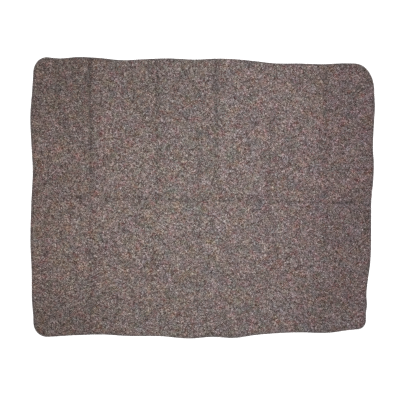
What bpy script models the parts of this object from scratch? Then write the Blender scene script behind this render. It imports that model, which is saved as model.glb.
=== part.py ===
# A felt moving blanket, opened out flat on the floor after it was stored folded.
# It is one sheet of thick felt: its sides wander, its four corners are rounded unevenly,
# and its packing folds are left in it as soft troughs between low shoulders.
# Metres, +X along the long side, +Y along the short side, +Z up, underside at z = 0.

from collections import namedtuple
import math

import bpy
import numpy as np

# The felt
THICKNESS = 0.0042
PRESSED_SHARE = 0.70  # what is left of the thickness at the rim and along a crease
RIM_WIDTH = 0.012  # how far in from the edge the sewing presses the felt
EDGE_ROUNDING = 0.0010
ROUNDED_ABOVE = 50  # degrees between two faces, past which their edge is rounded
FELT_COLOUR = (0.195, 0.150, 0.140, 1.0)
FELT_ROUGHNESS = 0.95

# The creases
SHOULDER_REACH = 0.036  # from the line of a crease to the top of its shoulder
SHOULDER_SPAN = 2.6  # where a shoulder has died away, in reaches
CREASE_FADE = 0.110  # the length over which a crease that stops short dies away
CREASE_PRESS = 0.016  # how far to each side of its line a crease presses the felt
PRESS_AT_LINE = 0.8  # how much of that pressing is done on the line itself
HOLD_AT_LINE = 0.8  # how far a crease holds down the swells and shoulders that cross it
SHOULDER_KEEP = 0.35  # the share of a shoulder that no crossing crease holds down
HALF_LENGTH = 0.905  # the stretches over which a crease's three places are read
HALF_WIDTH = 0.725

# The spacing of the mesh, in from an edge, away from a crease, and in between
EDGE_STEPS = (0.012, 0.028, 0.048, 0.074)
CREASE_STEPS = (0.018, 0.036, 0.060, 0.094)
OPEN_STEP = 0.150

# The sides: how far out each one lies at places along it, from the middle of the blanket
Side = namedtuple("Side", "along out")
TOP_SIDE = (
    Side(along=-0.837, out=0.746),
    Side(along=-0.757, out=0.740),
    Side(along=-0.662, out=0.747),
    Side(along=-0.545, out=0.742),
    Side(along=-0.428, out=0.731),
    Side(along=-0.306, out=0.736),
    Side(along=-0.180, out=0.740),
    Side(along=-0.040, out=0.734),
    Side(along=0.082, out=0.739),
    Side(along=0.172, out=0.736),
    Side(along=0.284, out=0.725),
    Side(along=0.384, out=0.714),
    Side(along=0.517, out=0.713),
    Side(along=0.634, out=0.709),
    Side(along=0.756, out=0.714),
    Side(along=0.862, out=0.711),
)
BOTTOM_SIDE = (
    Side(along=-0.837, out=0.738),
    Side(along=-0.678, out=0.730),
    Side(along=-0.545, out=0.726),
    Side(along=-0.386, out=0.734),
    Side(along=-0.226, out=0.735),
    Side(along=-0.067, out=0.747),
    Side(along=0.050, out=0.739),
    Side(along=0.172, out=0.744),
    Side(along=0.278, out=0.729),
    Side(along=0.384, out=0.720),
    Side(along=0.491, out=0.715),
    Side(along=0.677, out=0.716),
    Side(along=0.783, out=0.702),
    Side(along=0.846, out=0.697),
)
LEFT_SIDE = (
    Side(along=-0.660, out=0.897),
    Side(along=-0.554, out=0.905),
    Side(along=-0.394, out=0.907),
    Side(along=-0.262, out=0.913),
    Side(along=-0.023, out=0.908),
    Side(along=0.137, out=0.901),
    Side(along=0.269, out=0.908),
    Side(along=0.413, out=0.914),
    Side(along=0.588, out=0.902),
    Side(along=0.678, out=0.897),
)
RIGHT_SIDE = (
    Side(along=-0.660, out=0.867),
    Side(along=-0.607, out=0.873),
    Side(along=-0.554, out=0.870),
    Side(along=-0.490, out=0.875),
    Side(along=-0.394, out=0.888),
    Side(along=-0.129, out=0.895),
    Side(along=-0.023, out=0.896),
    Side(along=0.084, out=0.906),
    Side(along=0.190, out=0.909),
    Side(along=0.254, out=0.905),
    Side(along=0.402, out=0.910),
    Side(along=0.498, out=0.915),
    Side(along=0.588, out=0.911),
)

# The corners, each a quarter of an ellipse
Corner = namedtuple("Corner", "name right up across down")
CORNERS = (
    Corner(name="top left", right=-1, up=1, across=0.072, down=0.080),
    Corner(name="top right", right=1, up=1, across=0.100, down=0.146),
    Corner(name="bottom right", right=1, up=-1, across=0.044, down=0.048),
    Corner(name="bottom left", right=-1, up=-1, across=0.074, down=0.078),
)

# Creases that run up the blanket: x at the bottom side, half way and at the top side,
# the stretch of y in which the crease shows, and the rise of the shoulder on each side
Upright = namedtuple("Upright", "bottom middle top low high left_rise right_rise")
UPRIGHTS = (
    Upright(bottom=-0.598, middle=-0.592, top=-0.598, low=-0.90, high=0.90,
            left_rise=0.0034, right_rise=0.0040),
    Upright(bottom=-0.253, middle=-0.247, top=-0.242, low=-0.46, high=0.90,
            left_rise=0.0020, right_rise=0.0024),
    Upright(bottom=-0.014, middle=-0.014, top=-0.010, low=-0.40, high=0.42,
            left_rise=0.0020, right_rise=0.0014),
    Upright(bottom=0.070, middle=0.071, top=0.072, low=0.02, high=0.90,
            left_rise=0.0012, right_rise=0.0022),
    Upright(bottom=0.337, middle=0.349, top=0.388, low=-0.56, high=0.52,
            left_rise=0.0026, right_rise=0.0030),
    Upright(bottom=0.634, middle=0.650, top=0.655, low=-0.66, high=0.90,
            left_rise=0.0030, right_rise=0.0026),
)

# Creases that run across it: y at the left side, half way and at the right side
Level = namedtuple("Level", "left middle right low high down_rise up_rise")
LEVELS = (
    Level(left=0.009, middle=-0.011, right=-0.028, low=-0.95, high=0.95,
          down_rise=0.0034, up_rise=0.0028),
    Level(left=0.392, middle=0.390, right=0.388, low=-0.60, high=-0.04,
          down_rise=0.0012, up_rise=0.0014),
)

# Places where the felt stands a little off the floor
Swell = namedtuple("Swell", "x y reach rise")
SWELLS = (
    Swell(x=-0.870, y=0.700, reach=0.130, rise=0.0026),
    Swell(x=-0.700, y=0.745, reach=0.090, rise=0.0014),
    Swell(x=0.880, y=0.640, reach=0.150, rise=0.0030),
    Swell(x=0.850, y=-0.680, reach=0.120, rise=0.0022),
    Swell(x=-0.880, y=-0.700, reach=0.140, rise=0.0030),
    Swell(x=0.765, y=0.075, reach=0.110, rise=0.0026),
    Swell(x=0.760, y=-0.165, reach=0.120, rise=0.0030),
    Swell(x=-0.060, y=-0.740, reach=0.110, rise=0.0016),
    Swell(x=-0.450, y=0.210, reach=0.120, rise=0.0014),
)


def clear_scene():
    for thing in list(bpy.data.objects):
        bpy.data.objects.remove(thing, do_unlink=True)


def side_out(side, at):
    # A smooth line through the rows of a side, level beyond the first and the last.
    along = np.array([row.along for row in side])
    out = np.array([row.out for row in side])
    slope = np.gradient(out, along)
    slope[0] = slope[-1] = 0.0
    at = np.clip(at, along[0], along[-1])
    first = np.clip(np.searchsorted(along, at) - 1, 0, len(along) - 2)
    step = along[first + 1] - along[first]
    part = (at - along[first]) / step
    start = (1 + 2 * part) * (1 - part) ** 2 * out[first]
    end = (3 - 2 * part) * part**2 * out[first + 1]
    lean = part * (1 - part) ** 2 * slope[first] - (1 - part) * part**2 * slope[first + 1]
    return start + end + lean * step


def through_three(first, middle, last, part):
    # The parabola that is first at -1, middle at 0 and last at 1.
    return middle + (last - first) / 2 * part + ((last + first) / 2 - middle) * part**2


def upright_x(crease, y):
    return through_three(crease.bottom, crease.middle, crease.top, y / HALF_WIDTH)


def level_y(crease, x):
    return through_three(crease.left, crease.middle, crease.right, x / HALF_LENGTH)


def stations(lines):
    # Mesh lines from one side to the other, close together at the sides and the creases.
    places = []
    for number, (low, high) in enumerate(zip(lines, lines[1:])):
        after = EDGE_STEPS if number == 0 else CREASE_STEPS
        before = EDGE_STEPS if number == len(lines) - 2 else CREASE_STEPS
        room = (high - low) / 2
        rising = [low + step for step in after if step < room]
        falling = [high - step for step in reversed(before) if step < room]
        pieces = max(1, math.ceil((falling[0] - rising[-1]) / OPEN_STEP))
        between = list(np.linspace(rising[-1], falling[0], pieces + 1)[1:-1])
        places += [low] + rising + between + falling
    return np.array(places + [lines[-1]])


def round_corners(x, y):
    # The square of each corner is drawn in to a quarter of an ellipse.
    for corner in CORNERS:
        side = RIGHT_SIDE if corner.right > 0 else LEFT_SIDE
        end = TOP_SIDE if corner.up > 0 else BOTTOM_SIDE
        across = (corner.right * x - side_out(side, y) + corner.across) / corner.across
        down = (corner.up * y - side_out(end, x) + corner.down) / corner.down
        inside = (across > 0) & (down > 0)
        drawn_across = across * np.sqrt(1 - np.clip(down, 0, 1) ** 2 / 2)
        drawn_down = down * np.sqrt(1 - np.clip(across, 0, 1) ** 2 / 2)
        moved_x = corner.right * corner.across * (drawn_across - across)
        moved_y = corner.up * corner.down * (drawn_down - down)
        x = np.where(inside, x + moved_x, x)
        y = np.where(inside, y + moved_y, y)
    return x, y


def lay_out():
    # The x and y of every mesh point, in rows along the lines of the creases.
    middle_x = [-side_out(LEFT_SIDE, 0.0)]
    middle_x += [upright_x(crease, 0.0) for crease in UPRIGHTS]
    middle_x += [side_out(RIGHT_SIDE, 0.0)]
    middle_y = [-side_out(BOTTOM_SIDE, 0.0)]
    middle_y += [level_y(crease, 0.0) for crease in LEVELS]
    middle_y += [side_out(TOP_SIDE, 0.0)]
    columns = stations(middle_x)
    rows = stations(middle_y)
    x = np.zeros((len(columns), len(rows)))
    y = np.zeros_like(x)
    for number, row in enumerate(rows):
        lines = [-side_out(LEFT_SIDE, row)]
        lines += [upright_x(crease, row) for crease in UPRIGHTS]
        lines += [side_out(RIGHT_SIDE, row)]
        x[:, number] = np.interp(columns, middle_x, lines)
    for number in range(len(columns)):
        at = x[number, :]
        lines = [-side_out(BOTTOM_SIDE, at)]
        lines += [level_y(crease, at) for crease in LEVELS]
        lines += [side_out(TOP_SIDE, at)]
        lines = np.array(lines)
        for place in range(len(rows)):
            y[number, place] = np.interp(rows[place], middle_y, lines[:, place])
    return round_corners(x, y)


def creases_at(x, y):
    # For each crease: the distance from its line, how much of it shows, and its two rises.
    found = []
    for crease in UPRIGHTS:
        away = x - upright_x(crease, y)
        shows = np.clip(np.minimum(y - crease.low, crease.high - y) / CREASE_FADE, 0, 1)
        found.append((away, shows, crease.left_rise, crease.right_rise))
    for crease in LEVELS:
        away = y - level_y(crease, x)
        shows = np.clip(np.minimum(x - crease.low, crease.high - x) / CREASE_FADE, 0, 1)
        found.append((away, shows, crease.down_rise, crease.up_rise))
    return found


def lift(x, y):
    # How far the underside stands off the floor.
    shoulders = np.zeros_like(x)
    hold = np.ones_like(x)
    for away, shows, low_rise, high_rise in creases_at(x, y):
        reach = np.abs(away) / SHOULDER_REACH
        rise = np.where(away < 0, low_rise, high_rise) * shows
        window = np.clip(1 - (reach / SHOULDER_SPAN) ** 2, 0, 1)
        shoulders += rise * reach**2 * np.exp(1 - reach**2) * window
        hold *= 1 - HOLD_AT_LINE * shows * np.exp(-((away / SHOULDER_REACH) ** 2))
    swells = np.zeros_like(x)
    for swell in SWELLS:
        apart = np.hypot(x - swell.x, y - swell.y) / swell.reach
        swells += swell.rise * np.clip(1 - apart**2, 0, 1) ** 2
    return shoulders * (SHOULDER_KEEP + (1 - SHOULDER_KEEP) * hold) + swells * hold


def edge_distance(x, y):
    sides = (
        side_out(RIGHT_SIDE, y) - x,
        side_out(LEFT_SIDE, y) + x,
        side_out(TOP_SIDE, x) - y,
        side_out(BOTTOM_SIDE, x) + y,
    )
    return np.minimum.reduce(sides)


def looseness(x, y, on_edge):
    # 1 where the felt has its whole thickness, 0 where the sewing or a crease presses it.
    loose = np.clip(edge_distance(x, y) / RIM_WIDTH, 0, 1)
    for away, shows, _, _ in creases_at(x, y):
        loose *= 1 - PRESS_AT_LINE * shows * np.exp(-((away / CREASE_PRESS) ** 2))
    return np.where(on_edge, 0.0, loose)


def felt_material():
    material = bpy.data.materials.new("felt")
    material.use_nodes = True
    shader = material.node_tree.nodes["Principled BSDF"]
    shader.inputs["Base Color"].default_value = FELT_COLOUR
    shader.inputs["Roughness"].default_value = FELT_ROUGHNESS
    shader.inputs["Metallic"].default_value = 0.0
    return material


def blanket(collection):
    x, y = lay_out()
    # The origin is under the middle of the blanket's own box.
    shift_x = (x.max() + x.min()) / 2
    shift_y = (y.max() + y.min()) / 2
    last_column, last_row = x.shape[0] - 1, x.shape[1] - 1
    bpy.ops.mesh.primitive_grid_add(
        x_subdivisions=last_column, y_subdivisions=last_row, size=2
    )
    sheet = bpy.context.active_object
    sheet.name = sheet.data.name = "felt_blanket"
    for owner in list(sheet.users_collection):
        owner.objects.unlink(sheet)
    collection.objects.link(sheet)
    column = np.array([round((v.co.x + 1) / 2 * last_column) for v in sheet.data.vertices])
    row = np.array([round((v.co.y + 1) / 2 * last_row) for v in sheet.data.vertices])
    on_edge = (column == 0) | (column == last_column) | (row == 0) | (row == last_row)
    at_x, at_y = x[column, row], y[column, row]
    up = lift(at_x, at_y)
    loose = looseness(at_x, at_y, on_edge)
    group = sheet.vertex_groups.new(name="loose")
    for vertex in sheet.data.vertices:
        number = vertex.index
        vertex.co = (at_x[number] - shift_x, at_y[number] - shift_y, up[number])
        group.add([number], float(loose[number]), "REPLACE")
    cloth = sheet.modifiers.new("felt", "SOLIDIFY")
    cloth.thickness = THICKNESS
    cloth.offset = 1
    cloth.use_even_offset = True
    cloth.vertex_group = group.name
    cloth.thickness_vertex_group = PRESSED_SHARE
    rounding = sheet.modifiers.new("rounded_edge", "BEVEL")
    rounding.width = EDGE_ROUNDING
    rounding.segments = 1
    rounding.limit_method = "ANGLE"
    rounding.angle_limit = math.radians(ROUNDED_ABOVE)
    sheet.data.shade_smooth()
    sheet.data.materials.append(felt_material())


def main():
    clear_scene()
    collection = bpy.data.collections.new("moving_blanket")
    bpy.context.scene.collection.children.link(collection)
    blanket(collection)


main()
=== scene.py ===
import math

import bpy
import numpy as np
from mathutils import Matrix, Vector
from mathutils.bvhtree import BVHTree


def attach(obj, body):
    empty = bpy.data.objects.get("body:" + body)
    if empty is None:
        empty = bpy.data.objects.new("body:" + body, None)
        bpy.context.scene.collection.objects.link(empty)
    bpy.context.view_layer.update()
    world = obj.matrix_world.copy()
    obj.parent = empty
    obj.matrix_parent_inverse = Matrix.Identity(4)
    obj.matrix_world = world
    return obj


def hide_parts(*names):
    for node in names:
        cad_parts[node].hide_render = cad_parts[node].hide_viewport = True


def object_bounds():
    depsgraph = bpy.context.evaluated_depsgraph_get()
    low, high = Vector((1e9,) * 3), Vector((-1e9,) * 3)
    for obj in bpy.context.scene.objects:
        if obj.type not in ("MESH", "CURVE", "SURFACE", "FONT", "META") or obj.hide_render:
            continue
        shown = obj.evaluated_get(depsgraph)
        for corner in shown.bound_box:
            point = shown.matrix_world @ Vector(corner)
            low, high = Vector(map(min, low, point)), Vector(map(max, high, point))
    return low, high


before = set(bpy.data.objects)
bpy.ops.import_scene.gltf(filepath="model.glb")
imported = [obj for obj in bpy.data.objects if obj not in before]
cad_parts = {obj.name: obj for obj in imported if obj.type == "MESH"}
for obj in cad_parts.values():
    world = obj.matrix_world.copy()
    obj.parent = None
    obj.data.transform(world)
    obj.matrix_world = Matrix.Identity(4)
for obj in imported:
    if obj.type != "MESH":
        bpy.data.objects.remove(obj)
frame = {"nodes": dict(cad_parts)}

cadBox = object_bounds()
millimetre = 0.001
print("frame loaded:", ", ".join(frame["nodes"]))


# The felt cloth: one thick sheet, laid flat, with the folds it was stored in.
# Sides are (place along it, distance out from the middle) and sizes are metres.
feltCloth = {
    "thickness": 0.0042,
    "meshPitch": 0.0062,
    "edgeLines": (0.0012, 0.0030, 0.0052, 0.0074, 0.0096, 0.0118, 0.0150, 0.0200),
    "edgeRounding": 0.0011,
    "beadWidth": 0.0080,       # the sewn edge swells a little out to here
    "grooveInset": 0.0096,     # the needle line pulls the felt in here
    "grooveWidth": 0.0024,
    "grooveDepth": 0.0012,
    "beadLoss": 0.0010,        # how much thinner the sewn edge is than the open felt
    "threadRoom": 0.0008,      # the under thread holds the edge this far off the floor
    "rippleHeight": 0.0010,    # the sewing gathers the edge in small waves
    "rippleLengths": (0.071, 0.043),
    "rippleReach": 0.034,
    "shoulderReach": 0.036,
    "shoulderSpan": 2.6,
    "creaseFade": 0.110,
    "creaseDepth": 0.0009,     # how far the fold line presses the felt
    "creaseWidth": 0.010,
    "foldShadeWidth": 0.0120,      # how wide the painted shade along a fold line is
    "fullRise": 0.0064,        # a fold whose two rises add up to this marks at full strength
    "holdAtLine": 0.8,
    "shoulderKeep": 0.35,
    "swellHeight": 0.0016,     # broad unevenness of the upper face
    "swellSize": 0.085,
    "lumpHeight": 0.0010,      # clotted fibre just under the surface
    "lumpSize": 0.016,
    "evenRim": 0.012,          # the upper face is even at the rim and fully uneven this far in
    "upperFrom": 0.4,          # share of the thickness above which a point is the upper face's
    "undersideKept": 0.56,     # share of the faces left once the underside is thinned out
    "topSide": (
        (-0.837, 0.746), (-0.757, 0.740), (-0.662, 0.747), (-0.545, 0.742),
        (-0.428, 0.731), (-0.306, 0.736), (-0.180, 0.740), (-0.040, 0.734),
        (0.082, 0.739), (0.172, 0.736), (0.284, 0.725), (0.384, 0.714),
        (0.517, 0.713), (0.634, 0.709), (0.756, 0.714), (0.862, 0.711),
    ),
    "bottomSide": (
        (-0.837, 0.738), (-0.678, 0.730), (-0.545, 0.726), (-0.386, 0.734),
        (-0.226, 0.735), (-0.067, 0.747), (0.050, 0.739), (0.172, 0.744),
        (0.278, 0.729), (0.384, 0.720), (0.491, 0.715), (0.677, 0.716),
        (0.783, 0.702), (0.846, 0.697),
    ),
    "leftSide": (
        (-0.660, 0.897), (-0.554, 0.905), (-0.394, 0.907), (-0.262, 0.913),
        (-0.023, 0.908), (0.137, 0.901), (0.269, 0.908), (0.413, 0.914),
        (0.588, 0.902), (0.678, 0.897),
    ),
    "rightSide": (
        (-0.660, 0.867), (-0.607, 0.873), (-0.554, 0.870), (-0.490, 0.875),
        (-0.394, 0.888), (-0.129, 0.895), (-0.023, 0.896), (0.084, 0.906),
        (0.190, 0.909), (0.254, 0.905), (0.402, 0.910), (0.498, 0.915),
        (0.588, 0.911),
    ),
    # each corner is a quarter ellipse, "across" by "down"
    "corners": (
        {"name": "top left", "right": -1, "up": 1, "across": 0.072, "down": 0.080},
        {"name": "top right", "right": 1, "up": 1, "across": 0.100, "down": 0.146},
        {"name": "bottom right", "right": 1, "up": -1, "across": 0.044, "down": 0.048},
        {"name": "bottom left", "right": -1, "up": -1, "across": 0.074, "down": 0.078},
    ),
    # folds that run up the blanket: x at the bottom, half way and at the top
    "uprights": (
        {"line": (-0.598, -0.592, -0.598), "shows": (-0.90, 0.90), "rises": (0.0034, 0.0040)},
        {"line": (-0.253, -0.247, -0.242), "shows": (-0.46, 0.90), "rises": (0.0020, 0.0024)},
        {"line": (-0.014, -0.014, -0.010), "shows": (-0.40, 0.42), "rises": (0.0020, 0.0014)},
        {"line": (0.070, 0.071, 0.072), "shows": (0.02, 0.90), "rises": (0.0012, 0.0022)},
        {"line": (0.337, 0.349, 0.388), "shows": (-0.56, 0.52), "rises": (0.0026, 0.0030)},
        {"line": (0.634, 0.650, 0.655), "shows": (-0.66, 0.90), "rises": (0.0030, 0.0026)},
    ),
    # folds that run across it: y at the left, half way and at the right
    "levels": (
        {"line": (0.009, -0.011, -0.028), "shows": (-0.95, 0.95), "rises": (0.0034, 0.0028)},
        {"line": (0.392, 0.390, 0.388), "shows": (-0.60, -0.04), "rises": (0.0012, 0.0014)},
    ),
    # how dark the painted shade along each fold line is at its start, half way and at its end, in the
    # same order
    "foldShadeStrengths": (
        (0.50, 1.50, 1.70), (0.40, 0.80, 1.10), (0.10, 1.00, 2.50), (0.40, 0.90, 1.90),
        (0.50, 1.40, 0.90), (0.80, 0.80, 1.20), (1.00, 1.40, 1.70), (0.90, 0.90, 0.90),
    ),
    "foldHalfLength": 0.905,
    "foldHalfWidth": 0.725,
    # painted shade: the side panels beyond the outermost upright folds are a little darker, as the light
    # falls off towards the sides
    "shadedPanels": (
        {"fold": 0, "side": -1, "shows": (-0.05, 0.90)},
        {"fold": 5, "side": 1, "shows": (-0.66, 0.90)},
    ),
    "panelFade": 0.022,
    # painted shade in soft round spots, darkest towards the corners and sides where the light falls off,
    # and painted light where the strength is below 0: x, y, reach, how dark
    "shadeSpots": (
        (-0.62, 0.74, 0.50, 1.0), (-0.16, 0.56, 0.36, 1.1), (-0.16, 0.20, 0.16, 0.7),
        (-0.72, -0.74, 0.40, 1.3), (0.57, -0.60, 0.18, 0.5), (0.66, -0.18, 0.20, 0.5),
        (0.45, 0.15, 0.16, 0.4), (0.10, -0.76, 0.25, 0.6), (0.68, -0.70, 0.22, 0.6),
        (0.86, -0.20, 0.18, 0.6), (-0.62, -0.26, 0.24, -0.4), (0.23, 0.42, 0.14, 0.4),
        (0.80, -0.06, 0.10, 0.7), (-0.18, -0.13, 0.13, -0.3), (0.44, 0.62, 0.22, -0.4),
        (-0.88, -0.26, 0.15, 0.7), (-0.86, 0.52, 0.18, 0.5), (-0.86, -0.60, 0.16, 0.3),
    ),
    # where the felt stands a little off the floor: x, y, reach, rise
    "swells": (
        (-0.870, 0.700, 0.130, 0.0026), (-0.700, 0.745, 0.090, 0.0014),
        (0.880, 0.640, 0.150, 0.0030), (0.850, -0.680, 0.120, 0.0022),
        (-0.880, -0.700, 0.140, 0.0030), (0.765, 0.075, 0.110, 0.0026),
        (0.760, -0.165, 0.120, 0.0030), (-0.060, -0.740, 0.110, 0.0016),
        (-0.450, 0.210, 0.120, 0.0014),
    ),
}


def sideOut(side, at):
    # smooth line through the side's rows, level past its ends
    along, out = np.array(feltCloth[side]).T
    slope = np.gradient(out, along)
    slope[0] = slope[-1] = 0.0
    at = np.clip(at, along[0], along[-1])
    first = np.clip(np.searchsorted(along, at) - 1, 0, len(along) - 2)
    step = along[first + 1] - along[first]
    part = (at - along[first]) / step
    start = (1 + 2 * part) * (1 - part) ** 2 * out[first]
    end = (3 - 2 * part) * part**2 * out[first + 1]
    lean = part * (1 - part) ** 2 * slope[first] - (1 - part) * part**2 * slope[first + 1]
    return start + end + lean * step


def cornerPlace(corner, x, y):
    # how far a point is into the corner's ellipse: 0 where it begins, 1 at its outermost
    side = "rightSide" if corner["right"] > 0 else "leftSide"
    end = "topSide" if corner["up"] > 0 else "bottomSide"
    across = (corner["right"] * x - sideOut(side, y)) / corner["across"] + 1
    down = (corner["up"] * y - sideOut(end, x)) / corner["down"] + 1
    return across, down, (across > 0) & (down > 0)


def roundCorners(x, y):
    # draws the square of each corner in to its quarter ellipse
    for corner in feltCloth["corners"]:
        across, down, inside = cornerPlace(corner, x, y)
        drawnAcross = across * np.sqrt(1 - np.clip(down, 0, 1) ** 2 / 2)
        drawnDown = down * np.sqrt(1 - np.clip(across, 0, 1) ** 2 / 2)
        newX = x + corner["right"] * corner["across"] * (drawnAcross - across)
        newY = y + corner["up"] * corner["down"] * (drawnDown - down)
        x, y = np.where(inside, newX, x), np.where(inside, newY, y)
    return x, y


def planPoint(u, v):
    # u runs from 0 at the left side to 1 at the right, v from 0 at the bottom to 1 at the top
    low, high = -sideOut("bottomSide", 0.0), sideOut("topSide", 0.0)
    level = low + (high - low) * v
    left, right = -sideOut("leftSide", level), sideOut("rightSide", level)
    x = left + (right - left) * u
    bottom, top = -sideOut("bottomSide", x), sideOut("topSide", x)
    return roundCorners(x, bottom + (top - bottom) * v)


def rimPoints(count):
    # the outline, anticlockwise from the bottom left
    rise = np.linspace(0, 1, count // 4, endpoint=False)
    still = np.zeros_like(rise)
    u = np.concatenate([rise, still + 1, 1 - rise, still])
    v = np.concatenate([still, rise, still + 1, 1 - rise])
    return np.column_stack(planPoint(u, v))


outline = rimPoints(8000)
planShift = (outline.max(axis=0) + outline.min(axis=0)) / 2     # the CAD is centred on its box
outline = outline - planShift


def throughThree(values, part):
    # a curve through three values, at -1, 0 and 1
    first, middle, last = values
    return middle + (last - first) / 2 * part + ((last + first) / 2 - middle) * part**2


def foldsAt(x, y):
    # for each fold: distance from its line, place along it, how much of it shows, its two rises
    found = []
    for rows, across, along, half in (
        ("uprights", x, y, feltCloth["foldHalfWidth"]),
        ("levels", y, x, feltCloth["foldHalfLength"]),
    ):
        for fold in feltCloth[rows]:
            part = along / half
            away = across - throughThree(fold["line"], part)
            ends = np.minimum(along - fold["shows"][0], fold["shows"][1] - along)
            shows = np.clip(ends / feltCloth["creaseFade"], 0, 1)
            found.append((away, part, shows, *fold["rises"]))
    return found


def edgeDistance(x, y):
    # metres in from the outline, read off the four sides and the corner ellipses
    inset = np.minimum.reduce((
        sideOut("rightSide", y) - x, sideOut("leftSide", y) + x,
        sideOut("topSide", x) - y, sideOut("bottomSide", x) + y,
    ))
    for corner in feltCloth["corners"]:
        across, down, inside = cornerPlace(corner, x, y)
        radius = (corner["across"] + corner["down"]) / 2
        inset = np.where(inside, np.minimum(inset, (1 - np.hypot(across, down)) * radius), inset)
    return np.maximum(inset, 0)


def spotsAt(x, y, rows):
    # soft round spots, each from its row: x, y, reach, strength
    found = np.zeros_like(x)
    for placeX, placeY, reach, strength in feltCloth[rows]:
        apart = np.hypot(x - placeX, y - placeY) / reach
        found += strength * np.clip(1 - apart**2, 0, 1) ** 2
    return found


def lift(x, y):
    # how far the underside stands off the floor
    reach, span = feltCloth["shoulderReach"], feltCloth["shoulderSpan"]
    shoulders, hold = np.zeros_like(x), np.ones_like(x)
    for away, part, shows, lowRise, highRise in foldsAt(x, y):
        far = np.abs(away) / reach
        rise = np.where(away < 0, lowRise, highRise) * shows
        shoulders += rise * far**2 * np.exp(1 - far**2) * np.clip(1 - (far / span) ** 2, 0, 1)
        hold *= 1 - feltCloth["holdAtLine"] * shows * np.exp(-(far**2))
    keep = feltCloth["shoulderKeep"]
    return shoulders * (keep + (1 - keep) * hold) + spotsAt(x, y, "swells") * hold


def pressAt(x, y):
    # how hard a fold presses the felt: 1 on a full fold's line, fading to 0 beside it
    nearest = np.zeros_like(x)
    for away, part, shows, lowRise, highRise in foldsAt(x, y):
        strength = (lowRise + highRise) / feltCloth["fullRise"] * shows
        nearest = np.maximum(nearest, strength * np.exp(-((away / feltCloth["creaseWidth"]) ** 2)))
    return nearest


def foldShadeAt(x, y):
    # how dark the painted shade along the fold lines is
    darkest = np.zeros_like(x)
    for fold, marks in zip(foldsAt(x, y), feltCloth["foldShadeStrengths"]):
        away, part, shows = fold[:3]
        strength = throughThree(marks, np.clip(part, -1, 1)) * shows
        darkest = np.maximum(darkest, strength * np.exp(-((away / feltCloth["foldShadeWidth"]) ** 2)))
    return darkest


def shadedPanelAt(x, y):
    # 1 on the side panels that take painted shade, fading across their fold
    shown = np.zeros_like(x)
    folds = foldsAt(x, y)
    for panel in feltCloth["shadedPanels"]:
        past = np.clip(panel["side"] * folds[panel["fold"]][0] / feltCloth["panelFade"] + 0.5, 0, 1)
        ends = np.minimum(y - panel["shows"][0], panel["shows"][1] - y)
        shown = np.maximum(shown, past * np.clip(ends / feltCloth["creaseFade"], 0, 1))
    return shown


def edgeLift(x, y, inset):
    # the waves that the sewing gathers, and the room its under thread takes
    along = x + 1.3 * y + 0.4 * x * y
    long, short = (2 * math.pi * along / length for length in feltCloth["rippleLengths"])
    wave = 0.5 + 0.3 * np.sin(long) + 0.2 * np.sin(short + 1.0)
    ripple = feltCloth["rippleHeight"] * wave * np.exp(-((inset / feltCloth["rippleReach"]) ** 2))
    room = feltCloth["threadRoom"] * np.exp(-((inset / feltCloth["beadWidth"]) ** 4))
    return ripple + room


def feltThickness(x, y, inset):
    # thinner in a fold, at the needle line and at the sewn edge
    groove = np.exp(-(((inset - feltCloth["grooveInset"]) / feltCloth["grooveWidth"]) ** 2))
    bead = np.exp(-((inset / feltCloth["beadWidth"]) ** 4))
    loss = feltCloth["grooveDepth"] * groove + feltCloth["beadLoss"] * bead
    loss += feltCloth["creaseDepth"] * pressAt(x, y)
    return feltCloth["thickness"] - loss


def meshLines(length):
    # shares of a side at which the mesh has its lines, closer together at the sewn edge
    near = np.array((0.0,) + feltCloth["edgeLines"]) / length
    openLength = length - 2 * feltCloth["edgeLines"][-1]
    count = round(openLength / feltCloth["meshPitch"])
    middle = np.linspace(near[-1], 1 - near[-1], count + 1)[1:-1]
    return np.concatenate([near, middle, 1 - near[::-1]])


def bakeModifiers(thing):
    # swaps the mesh for what its modifiers make of it
    graph = bpy.context.evaluated_depsgraph_get()
    made = bpy.data.meshes.new_from_object(thing.evaluated_get(graph))
    old = thing.data
    thing.modifiers.clear()
    thing.data = made
    bpy.data.meshes.remove(old)
    made.name = thing.name


def readPoints(mesh):
    flat = np.empty(len(mesh.vertices) * 3)
    mesh.vertices.foreach_get("co", flat)
    return flat.reshape(-1, 3)


def makeCloth():
    extent = outline.max(axis=0) - outline.min(axis=0)
    columns, rows = meshLines(extent[0]), meshLines(extent[1])
    bpy.ops.mesh.primitive_grid_add(
        x_subdivisions=len(columns) - 1, y_subdivisions=len(rows) - 1, size=1
    )
    cloth = bpy.context.active_object
    cloth.name = cloth.data.name = "felt_cloth"
    points = readPoints(cloth.data)
    column = np.rint((points[:, 0] + 0.5) * (len(columns) - 1)).astype(int)
    row = np.rint((points[:, 1] + 0.5) * (len(rows) - 1)).astype(int)
    x, y = planPoint(columns[column], rows[row])
    inset = edgeDistance(x, y)
    thickness = feltThickness(x, y, inset)
    points = np.column_stack([x, y, lift(x, y) + edgeLift(x, y, inset)]) - [*planShift, 0]
    cloth.data.vertices.foreach_set("co", points.ravel())
    loose = cloth.vertex_groups.new(name="loose")
    for number, share in enumerate(thickness / feltCloth["thickness"]):
        loose.add([number], float(share), "REPLACE")
    felt = cloth.modifiers.new("felt", "SOLIDIFY")
    felt.thickness = feltCloth["thickness"]
    felt.offset = 1
    felt.vertex_group = "loose"
    rounding = cloth.modifiers.new("roundedEdge", "BEVEL")
    rounding.width = feltCloth["edgeRounding"]
    rounding.segments = 2
    rounding.limit_method = "ANGLE"
    rounding.angle_limit = math.radians(50)
    bakeModifiers(cloth)
    addUnevenness(cloth)
    settle(cloth)
    cloth.data.shade_smooth()
    return cloth


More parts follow.
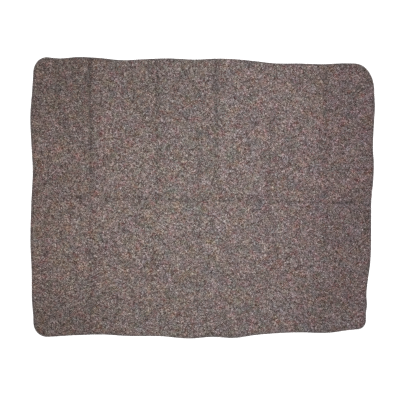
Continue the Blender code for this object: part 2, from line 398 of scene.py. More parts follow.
def addUnevenness(cloth):
    # soft swells and clots raise the upper face, and the underside is thinned out
    points = readPoints(cloth.data)
    x, y = points[:, 0] + planShift[0], points[:, 1] + planShift[1]
    inset = edgeDistance(x, y)
    under = lift(x, y) + edgeLift(x, y, inset)
    above = points[:, 2] - under > feltCloth["thickness"] * feltCloth["upperFrom"]
    cloth.vertex_groups.clear()
    upper = cloth.vertex_groups.new(name="upperFace")
    lower = cloth.vertex_groups.new(name="underside")
    softEdge = np.clip(inset / feltCloth["evenRim"], 0, 1)
    for number in np.flatnonzero(above):
        upper.add([int(number)], float(softEdge[number]), "REPLACE")
    for number in np.flatnonzero(~above & (inset > feltCloth["edgeLines"][-1])):
        lower.add([int(number)], 1.0, "REPLACE")
    for name, height, size in (
        ("swell", feltCloth["swellHeight"], feltCloth["swellSize"]),
        ("lump", feltCloth["lumpHeight"], feltCloth["lumpSize"]),
    ):
        clouds = bpy.data.textures.new(name, "CLOUDS")
        clouds.noise_scale = size
        clouds.noise_depth = 2
        raised = cloth.modifiers.new(name, "DISPLACE")
        raised.texture = clouds
        raised.direction = "Z"
        raised.strength = height
        raised.vertex_group = "upperFace"
    thinned = cloth.modifiers.new("thinnedUnderside", "DECIMATE")
    thinned.ratio = feltCloth["undersideKept"]
    thinned.vertex_group = "underside"
    bakeModifiers(cloth)


def settle(thing):
    # nothing reaches below the floor
    points = readPoints(thing.data)
    points[:, 2] = np.maximum(points[:, 2], 0)
    thing.data.vertices.foreach_set("co", points.ravel())


def markPaintedShade(thing):
    # leaves the painted shade of the fold lines, the side panels and the soft spots on the mesh, for the
    # felt's colour
    points = readPoints(thing.data)
    x, y = points[:, 0] + planShift[0], points[:, 1] + planShift[1]
    for name, shown in (
        ("foldShading", foldShadeAt(x, y)),
        ("shadedPanel", shadedPanelAt(x, y)),
        ("spotShading", spotsAt(x, y, "shadeSpots")),
    ):
        marks = thing.data.attributes.new(name, "FLOAT", "POINT")
        marks.data.foreach_set("value", shown.astype(np.float32))


def triangleCount(thing):
    thing.data.calc_loop_triangles()
    return len(thing.data.loop_triangles)


cloth = makeCloth()
markPaintedShade(cloth)
clothTree = BVHTree.FromObject(cloth, bpy.context.evaluated_depsgraph_get())
print("felt cloth:", triangleCount(cloth), "triangles")


# Small helpers that keep the materials short: a socket is linked, anything else is set.
def feed(tree, socket, value):
    if isinstance(value, bpy.types.NodeSocket):
        tree.links.new(value, socket)
    elif isinstance(value, tuple) and len(value) == 3 and socket.type == "RGBA":
        socket.default_value = (*value, 1.0)
    else:
        socket.default_value = value


def addMath(tree, operation, first, second=0.0):
    node = tree.nodes.new("ShaderNodeMath")
    node.operation = operation
    feed(tree, node.inputs[0], first)
    feed(tree, node.inputs[1], second)
    return node.outputs[0]


def addVector(tree, operation, first, second=(0.0, 0.0, 0.0), scale=1.0):
    node = tree.nodes.new("ShaderNodeVectorMath")
    node.operation = operation
    feed(tree, node.inputs[0], first)
    if operation == "SCALE":
        feed(tree, node.inputs["Scale"], scale)
    else:
        feed(tree, node.inputs[1], second)
    return node.outputs[0]


def addPlace(tree):
    # where a point of the piece is, in millimetres
    place = tree.nodes.new("ShaderNodeTexCoord").outputs["Object"]
    return addVector(tree, "SCALE", place, scale=1 / millimetre)


def addNoise(tree, place, size, detail=2.0, roughness=0.5, distortion=0.0):
    # soft noise whose broadest patches are about "size" millimetres across
    node = tree.nodes.new("ShaderNodeTexNoise")
    feed(tree, node.inputs["Vector"], place)
    node.inputs["Scale"].default_value = 1 / size
    node.inputs["Detail"].default_value = detail
    node.inputs["Roughness"].default_value = roughness
    node.inputs["Distortion"].default_value = distortion
    return node


def addWarp(tree, place, size, reach):
    # pushes places about, so that what is drawn at them has ragged edges
    push = addNoise(tree, place, size, detail=3.0, roughness=0.6).outputs["Color"]
    push = addVector(tree, "SUBTRACT", push, (0.5, 0.5, 0.5))
    push = addVector(tree, "SCALE", push, scale=reach * 2)
    return addVector(tree, "ADD", place, push)


def addCells(tree, place, size):
    # three random numbers for each clot of fibre, about "size" millimetres across
    node = tree.nodes.new("ShaderNodeTexVoronoi")
    feed(tree, node.inputs["Vector"], place)
    node.inputs["Scale"].default_value = 1 / size
    split = tree.nodes.new("ShaderNodeSeparateColor")
    tree.links.new(node.outputs["Color"], split.inputs[0])
    return split.outputs[0], split.outputs[1], split.outputs[2]


def addRamp(tree, value, stops, interpolation="LINEAR"):
    node = tree.nodes.new("ShaderNodeValToRGB")
    node.color_ramp.interpolation = interpolation
    elements = node.color_ramp.elements
    while len(elements) < len(stops):
        elements.new(0.5)
    for element, (place, colour) in zip(elements, stops):
        element.position = place
        element.color = (*colour, 1.0)
    feed(tree, node.inputs[0], value)
    return node.outputs[0]


def addPick(tree, chance, shares):
    # picks one of the colours, each as often as its share says
    whole = sum(share for share, colour in shares)
    stops, reached = [], 0.0
    for share, colour in shares:
        stops.append((reached / whole, colour))
        reached += share
    return addRamp(tree, chance, stops, "CONSTANT")


def addRange(tree, value, low, high, newLow=0.0, newHigh=1.0):
    node = tree.nodes.new("ShaderNodeMapRange")
    node.interpolation_type = "SMOOTHSTEP"
    feed(tree, node.inputs["Value"], value)
    for name, number in zip(("From Min", "From Max", "To Min", "To Max"), (low, high, newLow, newHigh)):
        node.inputs[name].default_value = number
    return node.outputs[0]


def addMix(tree, share, first, second, blend="MIX"):
    node = tree.nodes.new("ShaderNodeMix")
    node.data_type = "RGBA"
    node.blend_type = blend
    node.clamp_result = False
    feed(tree, node.inputs["Factor"], share)
    feed(tree, node.inputs[6], first)
    feed(tree, node.inputs[7], second)
    return node.outputs[2]


def addSaturation(tree, colour, strength):
    node = tree.nodes.new("ShaderNodeHueSaturation")
    feed(tree, node.inputs["Color"], colour)
    feed(tree, node.inputs["Saturation"], strength)
    return node.outputs[0]


def addTimes(tree, first, second):
    return addMix(tree, 1.0, first, second, "MULTIPLY")


def addMark(tree, name):
    node = tree.nodes.new("ShaderNodeAttribute")
    node.attribute_name = name
    return node.outputs["Fac"]


def addBump(tree, shader, height, distance, strength=0.8):
    bump = tree.nodes.new("ShaderNodeBump")
    bump.inputs["Strength"].default_value = strength
    bump.inputs["Distance"].default_value = distance
    feed(tree, bump.inputs["Height"], height)
    tree.links.new(bump.outputs["Normal"], shader.inputs["Normal"])


def newMaterial(name, roughness, sheen):
    material = bpy.data.materials.new(name)
    material.use_nodes = True
    shader = material.node_tree.nodes["Principled BSDF"]
    shader.inputs["Roughness"].default_value = roughness
    shader.inputs["Specular IOR Level"].default_value = 0.15
    shader.inputs["Sheen Weight"].default_value = sheen
    shader.inputs["Sheen Roughness"].default_value = 0.6
    return material, material.node_tree, shader


# The felt: shredded rags of every colour, which read as a taupe heather from a step away.
# Sizes are millimetres. A tint multiplies the taupe.
feltLook = {
    "taupe": (0.200, 0.1492, 0.1405),
    "brightness": 0.748,
    "clotSizes": (3.2, 6.8),            # fine and middle clots, each with its own tone
    # how much of the tone comes from fine clots, middle clots and single fibres
    "levelWeights": (0.63, 0.14, 0.23),
    "contrast": 4.15,                   # 0 would make every fibre the same tone
    "paleFade": 0.45,                   # how much the pale clots lose of their colour
    "fibreSize": (6.5, 0.55, 1.6),      # length, width and depth
    "fibreCurl": (9.0, 2.6),            # size and reach of the bends
    # each layer's angle, and its share of fibres that lie on top of the layers before it
    "fibreLayers": ((20, 1.0), (80, 0.50), (140, 0.45), (50, 0.36), (112, 0.30), (170, 0.24)),
    "tints": (
        (0.34, (1.00, 1.00, 1.00)),
        (0.16, (0.90, 1.02, 1.06)),     # grey
        (0.12, (1.12, 0.98, 0.82)),     # fawn
        (0.10, (1.75, 0.66, 0.70)),     # crimson
        (0.06, (1.30, 0.88, 0.98)),     # pink
        (0.05, (1.75, 0.90, 0.48)),     # orange
        (0.07, (0.86, 1.10, 0.76)),     # green
        (0.05, (0.66, 1.06, 1.12)),     # teal
        (0.05, (0.80, 0.96, 1.35)),     # blue
    ),
    "fibreTint": 0.14,                  # how much of its rag's tint each fibre keeps
    "cast": (62.0, (0.34, 0.12, 0.38)), # size and reach of a soft cast in red, green and blue
    # soft patches where more of one rag lies: size, where its noise begins and is full, tint
    "patches": (
        (40.0, 0.54, 0.74, (1.09, 0.84, 0.87)),     # crimson
        (36.0, 0.55, 0.75, (1.10, 0.96, 0.97)),     # pink
        (48.0, 0.54, 0.74, (1.06, 0.97, 0.83)),     # brown
        (42.0, 0.54, 0.74, (0.92, 1.02, 0.92)),     # green
        (52.0, 0.54, 0.74, (0.90, 0.99, 1.03)),     # slate
    ),
    "driftSize": 60.0,
    "driftTones": (0.92, 1.08),
    # a slow change of tint from the left side to the right
    "sideTints": (
        (0.0, (1.01, 0.955, 0.915)), (0.5, (0.975, 1.00, 0.985)), (1.0, (1.02, 0.945, 0.985)),
    ),
    # painted shade, taken off the colour: along the fold lines, on the side panels and in soft spots
    "foldShade": 0.20,
    "foldBreaks": (70.0, 0.40, 1.25),   # the painted shade along the fold lines comes and goes: size, weakest, strongest
    "panelShade": 0.07,
    "spotShade": 0.13,
    "firstCrown": 0.8,                  # how high the fibres of the first layer stand in the bump
    "layerRise": 0.4,                   # and how much higher each layer after it
    "patchGap": 200.0,                  # how far apart in the noise the patches are read
    "bumpHeight": 0.00030,
}


def addTurned(tree, vector, kind, angle, number):
    # into the space of one layer of fibres ("TEXTURE"), or back out of it ("POINT")
    node = tree.nodes.new("ShaderNodeMapping")
    node.vector_type = kind
    node.inputs["Location"].default_value = (37.0 * number, 11.0 * number, 0.0)
    node.inputs["Rotation"].default_value[2] = math.radians(angle)
    node.inputs["Scale"].default_value = feltLook["fibreSize"]
    feed(tree, node.inputs["Vector"], vector)
    return node.outputs[0]


def addFibres(tree, place):
    # the topmost fibre at each place: where its middle lies, three random numbers, and its height
    curled = addWarp(tree, place, *feltLook["fibreCurl"])
    middle, chances, height = (0.0, 0.0, 0.0), (0.0, 0.0, 0.0), 0.0
    for number, (angle, share) in enumerate(feltLook["fibreLayers"]):
        strands = tree.nodes.new("ShaderNodeTexVoronoi")
        feed(tree, strands.inputs["Vector"], addTurned(tree, curled, "TEXTURE", angle, number))
        strands.inputs["Scale"].default_value = 1.0
        split = tree.nodes.new("ShaderNodeSeparateColor")
        feed(tree, split.inputs[0], strands.outputs["Color"])
        onTop = addMath(tree, "LESS_THAN", split.outputs[2], share)
        ownMiddle = addTurned(tree, strands.outputs["Position"], "POINT", angle, number)
        crown = feltLook["firstCrown"] + feltLook["layerRise"] * number
        ownHeight = addMath(tree, "SUBTRACT", crown, strands.outputs["Distance"])
        middle = addMix(tree, onTop, middle, ownMiddle)
        chances = addMix(tree, onTop, chances, strands.outputs["Color"])
        height = addMath(tree, "MAXIMUM", height, addMath(tree, "MULTIPLY", ownHeight, onTop))
    split = tree.nodes.new("ShaderNodeSeparateColor")
    feed(tree, split.inputs[0], chances)
    return middle, split.outputs[0], split.outputs[1], height


def makeFelt():
    look = feltLook
    material, tree, shader = newMaterial("felt", 0.94, 0.12)
    place = addPlace(tree)
    fibreMiddle, ownTone, ownTint, fibreHeight = addFibres(tree, place)

    # tone: how light each fibre is, which it mostly shares with its clot
    fine, broad = (addCells(tree, fibreMiddle, size)[0] for size in look["clotSizes"])
    level = -sum(look["levelWeights"]) / 2
    for part, weight in zip((fine, broad, ownTone), look["levelWeights"]):
        level = addMath(tree, "ADD", addMath(tree, "MULTIPLY", part, weight), level)
    tone = addMath(tree, "EXPONENT", addMath(tree, "MULTIPLY", level, look["contrast"]))
    tone = addMath(tree, "MULTIPLY", tone, look["brightness"])
    strength = addMath(tree, "MULTIPLY", level, -look["contrast"] * look["paleFade"])
    strength = addMath(tree, "EXPONENT", strength)

    # tint: what colour of rag it came from, weaker on the pale clots
    tint = addMix(tree, look["fibreTint"], (1.0, 1.0, 1.0), addPick(tree, ownTint, look["tints"]))
    colour = addTimes(tree, addTimes(tree, look["taupe"], tone), tint)
    for number, (size, begins, full, tint) in enumerate(look["patches"]):
        apart = addVector(tree, "ADD", fibreMiddle, (0.0, 0.0, look["patchGap"] * (number + 1)))
        patch = addRange(tree, addNoise(tree, apart, size, 1.0, 0.5, 0.2).outputs[0], begins, full)
        colour = addTimes(tree, colour, addMix(tree, patch, (1.0, 1.0, 1.0), tint))
    colour = addSaturation(tree, colour, strength)
    castSize, castReach = look["cast"]
    cast = addNoise(tree, place, castSize, 2.0, 0.55).outputs["Color"]
    cast = addVector(tree, "MULTIPLY", addVector(tree, "SUBTRACT", cast, (0.5, 0.5, 0.5)), castReach)
    colour = addTimes(tree, colour, addVector(tree, "ADD", cast, (1.0, 1.0, 1.0)))

    # slow changes over the whole blanket, and painted shade along the folds, on the side panels and in
    # soft spots
    drift = addNoise(tree, place, look["driftSize"], 3.0, 0.6).outputs[0]
    colour = addTimes(tree, colour, addRange(tree, drift, 0.25, 0.75, *look["driftTones"]))
    split = tree.nodes.new("ShaderNodeSeparateXYZ")
    feed(tree, split.inputs[0], place)
    across = addMath(tree, "DIVIDE", split.outputs[0], (cadBox[1][0] - cadBox[0][0]) / millimetre)
    across = addMath(tree, "ADD", across, 0.5)
    colour = addTimes(tree, colour, addRamp(tree, across, look["sideTints"]))
    size, weakest, strongest = look["foldBreaks"]
    breaks = addNoise(tree, place, size, 2.0, 0.6).outputs[0]
    breaks = addRange(tree, breaks, 0.3, 0.7, weakest, strongest)
    # painted shade: darker along the fold lines, on the side panels and in soft spots
    shadedFolds = addMath(tree, "MULTIPLY", addMark(tree, "foldShading"), breaks)
    paintedShade = addMath(tree, "MULTIPLY", shadedFolds, look["foldShade"])
    for name, shade in (("shadedPanel", look["panelShade"]), ("spotShading", look["spotShade"])):
        paintedShade = addMath(tree, "ADD", paintedShade, addMath(tree, "MULTIPLY", addMark(tree, name), shade))
    colour = addTimes(tree, colour, addMath(tree, "SUBTRACT", 1.0, paintedShade))
    feed(tree, shader.inputs["Base Color"], colour)

    addBump(tree, shader, fibreHeight, look["bumpHeight"])
    return material


def dress(piece, material):
    piece.data.materials.clear()
    piece.data.materials.append(material)
    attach(piece, "root")


dress(cloth, makeFelt())
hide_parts("felt_blanket")
print("felt material made")


def newTubes(name, radius):
    # a set of round threads, to be filled with addTube and turned into a mesh with meshTubes
    curve = bpy.data.curves.new(name, "CURVE")
    curve.dimensions = "3D"
    curve.bevel_depth = radius
    curve.bevel_resolution = 0
    curve.use_fill_caps = True
    return curve


def addTube(curve, points, widths, closed=False):
    spline = curve.splines.new("POLY")
    spline.points.add(len(points) - 1)
    spline.points.foreach_set("co", np.column_stack([points, np.ones(len(points))]).ravel())
    spline.points.foreach_set("radius", widths)
    spline.use_cyclic_u = closed
    spline.use_smooth = True


def meshTubes(curve):
    graph = bpy.context.evaluated_depsgraph_get()
    drawn = bpy.data.objects.new(curve.name, curve)
    bpy.context.scene.collection.objects.link(drawn)
    graph.update()
    mesh = bpy.data.meshes.new_from_object(drawn.evaluated_get(graph))
    bpy.data.objects.remove(drawn)
    mesh.name = curve.name
    bpy.data.curves.remove(curve)
    piece = bpy.data.objects.new(mesh.name, mesh)
    bpy.context.scene.collection.objects.link(piece)
    return piece


def faceHeight(x, y, below=False):
    # height of the felt's upper face, or of its underside, at each place; nan beside the cloth
    heights = np.full(len(x), np.nan)
    start, way = (-0.05, Vector((0, 0, 1))) if below else (0.05, Vector((0, 0, -1)))
    for number, (placeX, placeY) in enumerate(zip(x, y)):
        hit = clothTree.ray_cast(Vector((placeX, placeY, start)), way)[0]
        if hit is not None:
            heights[number] = hit.z
    return heights


# The sewn edge: an overlock, with a needle thread and one looper thread for each face.
# A loop's row is place along the stitch, share of the way in to the needle line, and
# height: 1 on the upper face, 0 under the lower one, and between them on the edge.
edgeSewing = {
    "pitch": 0.0046,
    "needleInset": 0.0096,
    "edgeOut": 0.0003,         # how far the loops stand out past the felt
    "looperRadius": 0.00046,
    "needleRadius": 0.00034,
    "sunk": 0.45,              # share of its radius that a thread presses into the felt
    "wander": (0.00035, 0.00045),
    "feltRead": 0.00192,       # the felt's height is read at least this far in from its rim
    "widthChange": 0.12,
    "seed": 11,
    "upperLoop": (
        (0.00, 1.00, 1.0), (0.12, 0.72, 1.0), (0.26, 0.34, 1.0), (0.40, 0.06, 0.9),
        (0.50, 0.00, 0.55), (0.60, 0.06, 0.9), (0.74, 0.34, 1.0), (0.88, 0.72, 1.0),
    ),
    "lowerLoop": (
        (0.50, 0.00, 0.40), (0.64, 0.22, 0.0), (0.84, 0.70, 0.0), (1.00, 1.00, 0.0),
        (1.16, 0.70, 0.0), (1.36, 0.22, 0.0),
    ),
    "needleLine": ((0.00, 1.03, 1.0), (0.25, 1.00, 1.0), (0.75, 1.00, 1.0)),
    "colours": (
        (0.40, (0.157, 0.144, 0.140)),
        (0.35, (0.128, 0.119, 0.119)),
        (0.25, (0.198, 0.177, 0.169)),
    ),
}

closedRim = np.vstack([outline, outline[:1]])
rimRun = np.concatenate([[0], np.cumsum(np.hypot(*np.diff(closedRim, axis=0).T))])
rimLength = rimRun[-1]
rimAhead = np.roll(outline, -6, axis=0) - np.roll(outline, 6, axis=0)
rimInward = np.column_stack([-rimAhead[:, 1], rimAhead[:, 0]]) / np.hypot(*rimAhead.T)[:, None]


def rimAt(run, inset):
    # the place that is "run" along the outline and "inset" in from it
    columns = np.column_stack([outline, rimInward]).T
    x, y, inX, inY = (np.interp(run, rimRun[:-1], column, period=rimLength) for column in columns)
    return x + inX * inset, y + inY * inset


def sewThread(rows, radius, rng):
    # one thread that repeats its rows in every stitch round the whole rim
    stitches = round(rimLength / edgeSewing["pitch"])
    pitch = rimLength / stitches
    along, share, level = (np.tile(column, stitches) for column in np.array(rows).T)
    count = len(along)
    driftAlong, driftIn = (rng.normal(0, wander, count) for wander in edgeSewing["wander"])
    run = (np.repeat(np.arange(stitches), len(rows)) + along) * pitch + driftAlong
    inset = share * edgeSewing["needleInset"] - edgeSewing["edgeOut"] + driftIn * share
    x, y = rimAt(run, inset)
    inner = rimAt(run, np.maximum(inset, edgeSewing["feltRead"]))
    high, low = faceHeight(*inner), faceHeight(*inner, below=True)
    rest = radius * (1 - edgeSewing["sunk"])
    z = (low - rest) * (1 - level) + (high + rest) * level
    return np.column_stack([x, y, np.maximum(z, radius * (1 + edgeSewing["widthChange"]))])


def makeSewing():
    rng = np.random.default_rng(edgeSewing["seed"])
    threads = newTubes("overlock_thread", edgeSewing["looperRadius"])
    for rows, radius in (
        ("upperLoop", edgeSewing["looperRadius"]),
        ("lowerLoop", edgeSewing["looperRadius"]),
        ("needleLine", edgeSewing["needleRadius"]),
    ):
        points = sewThread(edgeSewing[rows], radius, rng)
        change = rng.uniform(-1, 1, len(points)) * edgeSewing["widthChange"]
        addTube(threads, points, radius / edgeSewing["looperRadius"] * (1 + change), closed=True)
    return meshTubes(threads)


def makeYarn(name, colours, roughness, sheen, patch, tones, bumpHeight):
    # spun fibre: each separate thread takes one of the colours, and is uneven along its length
    material, tree, shader = newMaterial(name, roughness, sheen)
    place = addPlace(tree)
    ownChance = tree.nodes.new("ShaderNodeNewGeometry").outputs["Random Per Island"]
    patches = addCells(tree, addWarp(tree, place, patch, patch * 0.4), patch)
    shift = addMath(tree, "MULTIPLY", patches[0], 0.12)
    chance = addMath(tree, "FRACT", addMath(tree, "ADD", ownChance, shift))
    colour = addPick(tree, chance, colours)
    mottle = addNoise(tree, place, patch / 3, 3.0, 0.6).outputs[0]
    colour = addTimes(tree, colour, addRange(tree, mottle, 0.28, 0.72, *tones))
    feed(tree, shader.inputs["Base Color"], colour)
    twist = addNoise(tree, place, 0.5, 2.0, 0.6, 0.8).outputs[0]
    addBump(tree, shader, twist, bumpHeight)
    return material


sewing = makeSewing()
dress(sewing, makeYarn("overlock_yarn", edgeSewing["colours"], 0.85, 0.2, 3.0, (0.65, 1.4), 0.0002))
print("overlock:", triangleCount(sewing), "triangles over", round(rimLength, 2), "m")


# Bits of yarn from the shredded rags, lying flat in the felt's face.
yarnSnippets = {
    "count": 5200,
    "points": 5,
    "lengths": (0.005, 0.021),
    "radii": (0.00016, 0.00044),
    "curl": 1.5,               # how far a snippet turns from end to end, in radians
    "stands": (0.05, 0.75),    # share of its radius between its middle line and the felt
    "ends": 0.45,              # width of its ends beside its middle
    "seed": 23,
    "colours": (
        (0.24, (0.420, 0.370, 0.340)),
        (0.10, (0.640, 0.610, 0.570)),
        (0.12, (0.050, 0.042, 0.044)),
        (0.15, (0.330, 0.060, 0.070)),
        (0.10, (0.400, 0.200, 0.220)),
        (0.08, (0.420, 0.170, 0.060)),
        (0.08, (0.110, 0.150, 0.085)),
        (0.06, (0.070, 0.140, 0.150)),
        (0.07, (0.090, 0.110, 0.200)),
    ),
}

# Single fibres that have worked loose and stand off the face, and a fringe of them at the rim.
looseFibres = {
    "count": 4000,
    "rimCount": 1000,
    "points": 5,
    "lengths": (0.007, 0.026),
    "radius": 0.00011,
    "slimness": 0.8,           # width of a fibre's middle beside that radius
    "curl": 2.2,
    "rises": (0.0003, 0.0030),
    "bridged": 0.6,            # share of the fibres that touch down at both ends
    "springing": 1.6,          # how late the others rise from the face
    "ends": 0.5,
    "rimReach": (0.0015, 0.0060),
    "rimRoot": 0.0025,         # how far in from the rim a fibre of the fringe begins
    "rimSlant": 0.004,
    "rimSag": (0.2, 1.1),      # share of the felt's height that its tip has sunk by
    "rimDroop": 1.5,           # how late it sinks
    "seed": 31,
    "colours": (
        (0.45, (0.460, 0.410, 0.380)),
        (0.20, (0.700, 0.670, 0.640)),
        (0.15, (0.100, 0.080, 0.080)),
        (0.10, (0.380, 0.110, 0.110)),
        (0.10, (0.150, 0.170, 0.190)),
    ),
}

# Tight little tangles of yarn, pressed into the face.
fibreKnots = {
    "count": 1100,
    "points": 18,
    "radii": (0.0013, 0.0034),
    "narrowness": (0.45, 1.0),
    "heights": (0.0005, 0.0012),
    "yarnShare": 0.25,         # the yarn's radius beside the knot's
    "waves": (0.62, 0.46, 0.34),    # how far each wave of the tangle reaches, of the radius
    "seed": 47,
    "colours": (
        (0.30, (0.620, 0.585, 0.555)),
        (0.20, (0.030, 0.026, 0.028)),
        (0.17, (0.250, 0.080, 0.080)),
        (0.09, (0.300, 0.190, 0.190)),
        (0.08, (0.280, 0.160, 0.095)),
        (0.09, (0.140, 0.165, 0.115)),
        (0.09, (0.110, 0.155, 0.165)),
    ),
}


def strew(count, rng):
    # an even scatter over the blanket
    x, y = planPoint(rng.uniform(0.004, 0.996, count), rng.uniform(0.004, 0.996, count))
    return x - planShift[0], y - planShift[1]


def curlyPaths(x, y, heading, length, curl, points):
    # plan paths that bend evenly, one row for each, from their starts
    turn = np.linspace(0, 1, points - 1) * curl[:, None] + heading[:, None]
    step = (length / (points - 1))[:, None]
    start = np.zeros((len(x), 1))
    pathX = x[:, None] + np.hstack([start, np.cumsum(np.cos(turn) * step, axis=1)])
    pathY = y[:, None] + np.hstack([start, np.cumsum(np.sin(turn) * step, axis=1)])
    return pathX, pathY


def taper(points, ends):
    return ends + (1 - ends) * np.sin(np.linspace(0, math.pi, points)) ** 0.5


def makeSnippets():
    look = yarnSnippets
    rng = np.random.default_rng(look["seed"])
    count, points = look["count"], look["points"]
    x, y = strew(count, rng)
    heading, length = rng.uniform(0, 2 * math.pi, count), rng.uniform(*look["lengths"], count)
    pathX, pathY = curlyPaths(x, y, heading, length, rng.normal(0, look["curl"], count), points)
    face = faceHeight(pathX.ravel(), pathY.ravel()).reshape(count, points)
    radius = rng.uniform(*look["radii"], count)
    stands = rng.uniform(*look["stands"], (count, points))
    snippets = newTubes("yarn_snippets", look["radii"][1])
    for number in np.flatnonzero(np.isfinite(face).all(axis=1)):
        height = face[number] + stands[number] * radius[number]
        path = np.column_stack([pathX[number], pathY[number], height])
        addTube(snippets, path, taper(points, look["ends"]) * radius[number] / look["radii"][1])
    return meshTubes(snippets)


def makeFibres():
    look = looseFibres
    rng = np.random.default_rng(look["seed"])
    count, points = look["count"], look["points"]
    fibres = newTubes("loose_fibres", look["radius"])
    widths = taper(points, look["ends"]) * look["slimness"]
    part = np.linspace(0, 1, points)

    x, y = strew(count, rng)
    heading, length = rng.uniform(0, 2 * math.pi, count), rng.uniform(*look["lengths"], count)
    pathX, pathY = curlyPaths(x, y, heading, length, rng.normal(0, look["curl"], count), points)
    face = faceHeight(pathX.ravel(), pathY.ravel()).reshape(count, points)
    rises, bridged = rng.uniform(*look["rises"], count), rng.uniform(size=count) < look["bridged"]
    for number in np.flatnonzero(np.isfinite(face).all(axis=1)):
        shape = np.sin(math.pi * part) if bridged[number] else part ** look["springing"]
        height = face[number] + rises[number] * shape
        addTube(fibres, np.column_stack([pathX[number], pathY[number], height]), widths)

    run = rng.uniform(0, rimLength, look["rimCount"])
    reach, slant = rng.uniform(*look["rimReach"], len(run)), rng.normal(0, look["rimSlant"], len(run))
    sag, root = rng.uniform(*look["rimSag"], len(run)), look["rimRoot"]
    for at, out, along, drop in zip(run, reach, slant, sag):
        pathX, pathY = rimAt(at + along * part, root - (out + root) * part)
        inner = rimAt(np.array([at]), root)
        start = faceHeight(*inner)[0]
        height = np.maximum(start * (1 - drop * part ** look["rimDroop"]), look["radius"])
        addTube(fibres, np.column_stack([pathX, pathY, height]), widths)
    return meshTubes(fibres)


def tangle(look, rng):
    # a closed wandering line that stays within about one radius of its middle
    turn = np.linspace(0, 2 * math.pi, look["points"], endpoint=False)
    x, y = np.zeros_like(turn), np.zeros_like(turn)
    for line in (x, y):
        for number, reach in enumerate(look["waves"]):
            line += reach * np.sin((number + 1) * turn + rng.uniform(0, 2 * math.pi))
    up = 0.5 + 0.5 * np.sin(2 * turn + rng.uniform(0, 2 * math.pi))
    return x, y, up


def makeKnots():
    look = fibreKnots
    rng = np.random.default_rng(look["seed"])
    count = look["count"]
    x, y = strew(count, rng)
    radius, high = rng.uniform(*look["radii"], count), rng.uniform(*look["heights"], count)
    narrow, heading = rng.uniform(*look["narrowness"], count), rng.uniform(0, 2 * math.pi, count)
    face = faceHeight(x, y)
    thickest = look["radii"][1] * look["yarnShare"]
    knots = newTubes("fibre_knots", thickest)
    for number in np.flatnonzero(np.isfinite(face)):
        along, across, up = tangle(look, rng)
        along, across = along * radius[number], across * radius[number] * narrow[number]
        cos, sin = math.cos(heading[number]), math.sin(heading[number])
        path = np.column_stack([
            x[number] + along * cos - across * sin,
            y[number] + along * sin + across * cos,
            face[number] + up * high[number],
        ])
        widths = np.full(len(path), radius[number] * look["yarnShare"] / thickest)
        addTube(knots, path, widths, closed=True)
    return meshTubes(knots)


snippets = makeSnippets()
dress(snippets, makeYarn("rag_yarn", yarnSnippets["colours"], 0.9, 0.2, 2.0, (0.7, 1.3), 0.0002))
print("yarn snippets:", triangleCount(snippets), "triangles")
fibres = makeFibres()
dress(fibres, makeYarn("fibre", looseFibres["colours"], 0.7, 0.3, 6.0, (0.8, 1.2), 0.00005))
print("loose fibres:", triangleCount(fibres), "triangles")
knots = makeKnots()
dress(knots, makeYarn("knot_fibre", fibreKnots["colours"], 0.95, 0.2, 1.2, (0.55, 1.45), 0.0003))
print("fibre knots:", triangleCount(knots), "triangles")


# The floor, the light and the camera.
studio = {
    "floorRadius": 9.0,           # the floor is a round sweep that curves up into a low wall
    "floorBend": 2.5,
    "wallHeight": 3.4,
    "floorRings": 24,
    "floorSegments": 96,
    "floorDrop": 0.0004,
    "floorColour": (0.90, 0.90, 0.90),
    "mottleSize": 330.0,
    "mottleTones": (0.985, 1.0),
    "floorGlow": 0.76,
    "worldStrength": 0.02,
    "lightHeight": 1.75,
    "lightPlace": (-0.01, 0.10),
    "lightSize": (0.8, 1.9),
    "lightPower": 37.8,
    "cameraHeight": 6.0,
    "frameWidth": 2.124,          # metres across the picture at the blanket
    "frameCentre": (-0.0138, -0.0119),
}


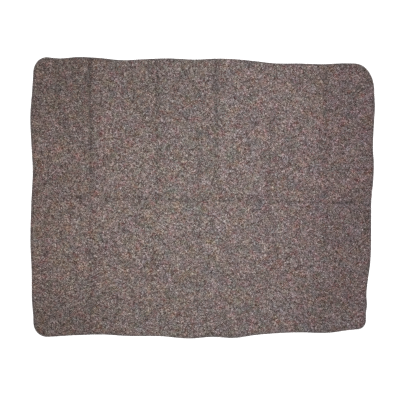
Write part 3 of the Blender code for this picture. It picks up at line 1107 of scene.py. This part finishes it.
def makeFloor():
    radius, bend, segments = studio["floorRadius"], studio["floorBend"], studio["floorSegments"]
    turn = np.linspace(0, math.pi / 2, studio["floorRings"])
    out = np.concatenate([[radius - bend - 1], radius - bend + bend * np.sin(turn), [radius]])
    up = np.concatenate([[0], bend * (1 - np.cos(turn)), [studio["wallHeight"]]]) - studio["floorDrop"]
    around = np.linspace(0, 2 * math.pi, segments, endpoint=False)
    points = [(r * math.cos(angle), r * math.sin(angle), z) for r, z in zip(out, up) for angle in around]
    faces = [tuple(range(segments))]
    for ring in range(len(out) - 1):
        for number in range(segments):
            after = (number + 1) % segments
            first, second = ring * segments, (ring + 1) * segments
            faces.append((first + number, second + number, second + after, first + after))
    mesh = bpy.data.meshes.new("floor")
    mesh.from_pydata(points, [], faces)
    mesh.shade_smooth()
    floor = bpy.data.objects.new("floor", mesh)
    bpy.context.scene.collection.objects.link(floor)
    return floor


def makeStudio():
    floor = makeFloor()
    material, tree, shader = newMaterial("pale_floor", 0.9, 0.0)
    mottle = addNoise(tree, addPlace(tree), studio["mottleSize"]).outputs[0]
    shade = addRange(tree, mottle, 0.3, 0.7, *studio["mottleTones"])
    feed(tree, shader.inputs["Base Color"], addTimes(tree, studio["floorColour"], shade))
    shader.inputs["Emission Color"].default_value = (1.0, 1.0, 1.0, 1.0)
    shader.inputs["Emission Strength"].default_value = studio["floorGlow"]
    floor.data.materials.append(material)

    light = bpy.data.lights.new("softbox", "AREA")
    light.shape = "RECTANGLE"
    light.size, light.size_y = studio["lightSize"]
    light.energy = studio["lightPower"]
    lamp = bpy.data.objects.new("softbox", light)
    lamp.location = (*studio["lightPlace"], studio["lightHeight"])
    lamp.visible_camera = False
    bpy.context.scene.collection.objects.link(lamp)

    world = bpy.data.worlds.new("room")
    bpy.context.scene.world = world
    world.use_nodes = True
    air = world.node_tree.nodes["Background"]
    air.inputs["Color"].default_value = (1.0, 1.0, 1.0, 1.0)
    air.inputs["Strength"].default_value = studio["worldStrength"]

    camera = bpy.data.cameras.new("camera")
    camera.lens = camera.sensor_width * studio["cameraHeight"] / studio["frameWidth"]
    eye = bpy.data.objects.new("camera", camera)
    eye.location = (*studio["frameCentre"], studio["cameraHeight"])
    bpy.context.scene.collection.objects.link(eye)
    bpy.context.scene.camera = eye
    bpy.context.scene.view_settings.view_transform = "Standard"
    bpy.context.scene.cycles.use_denoising = False      # denoising would smooth the heather away
    return floor


floor = makeStudio()
print("studio made")
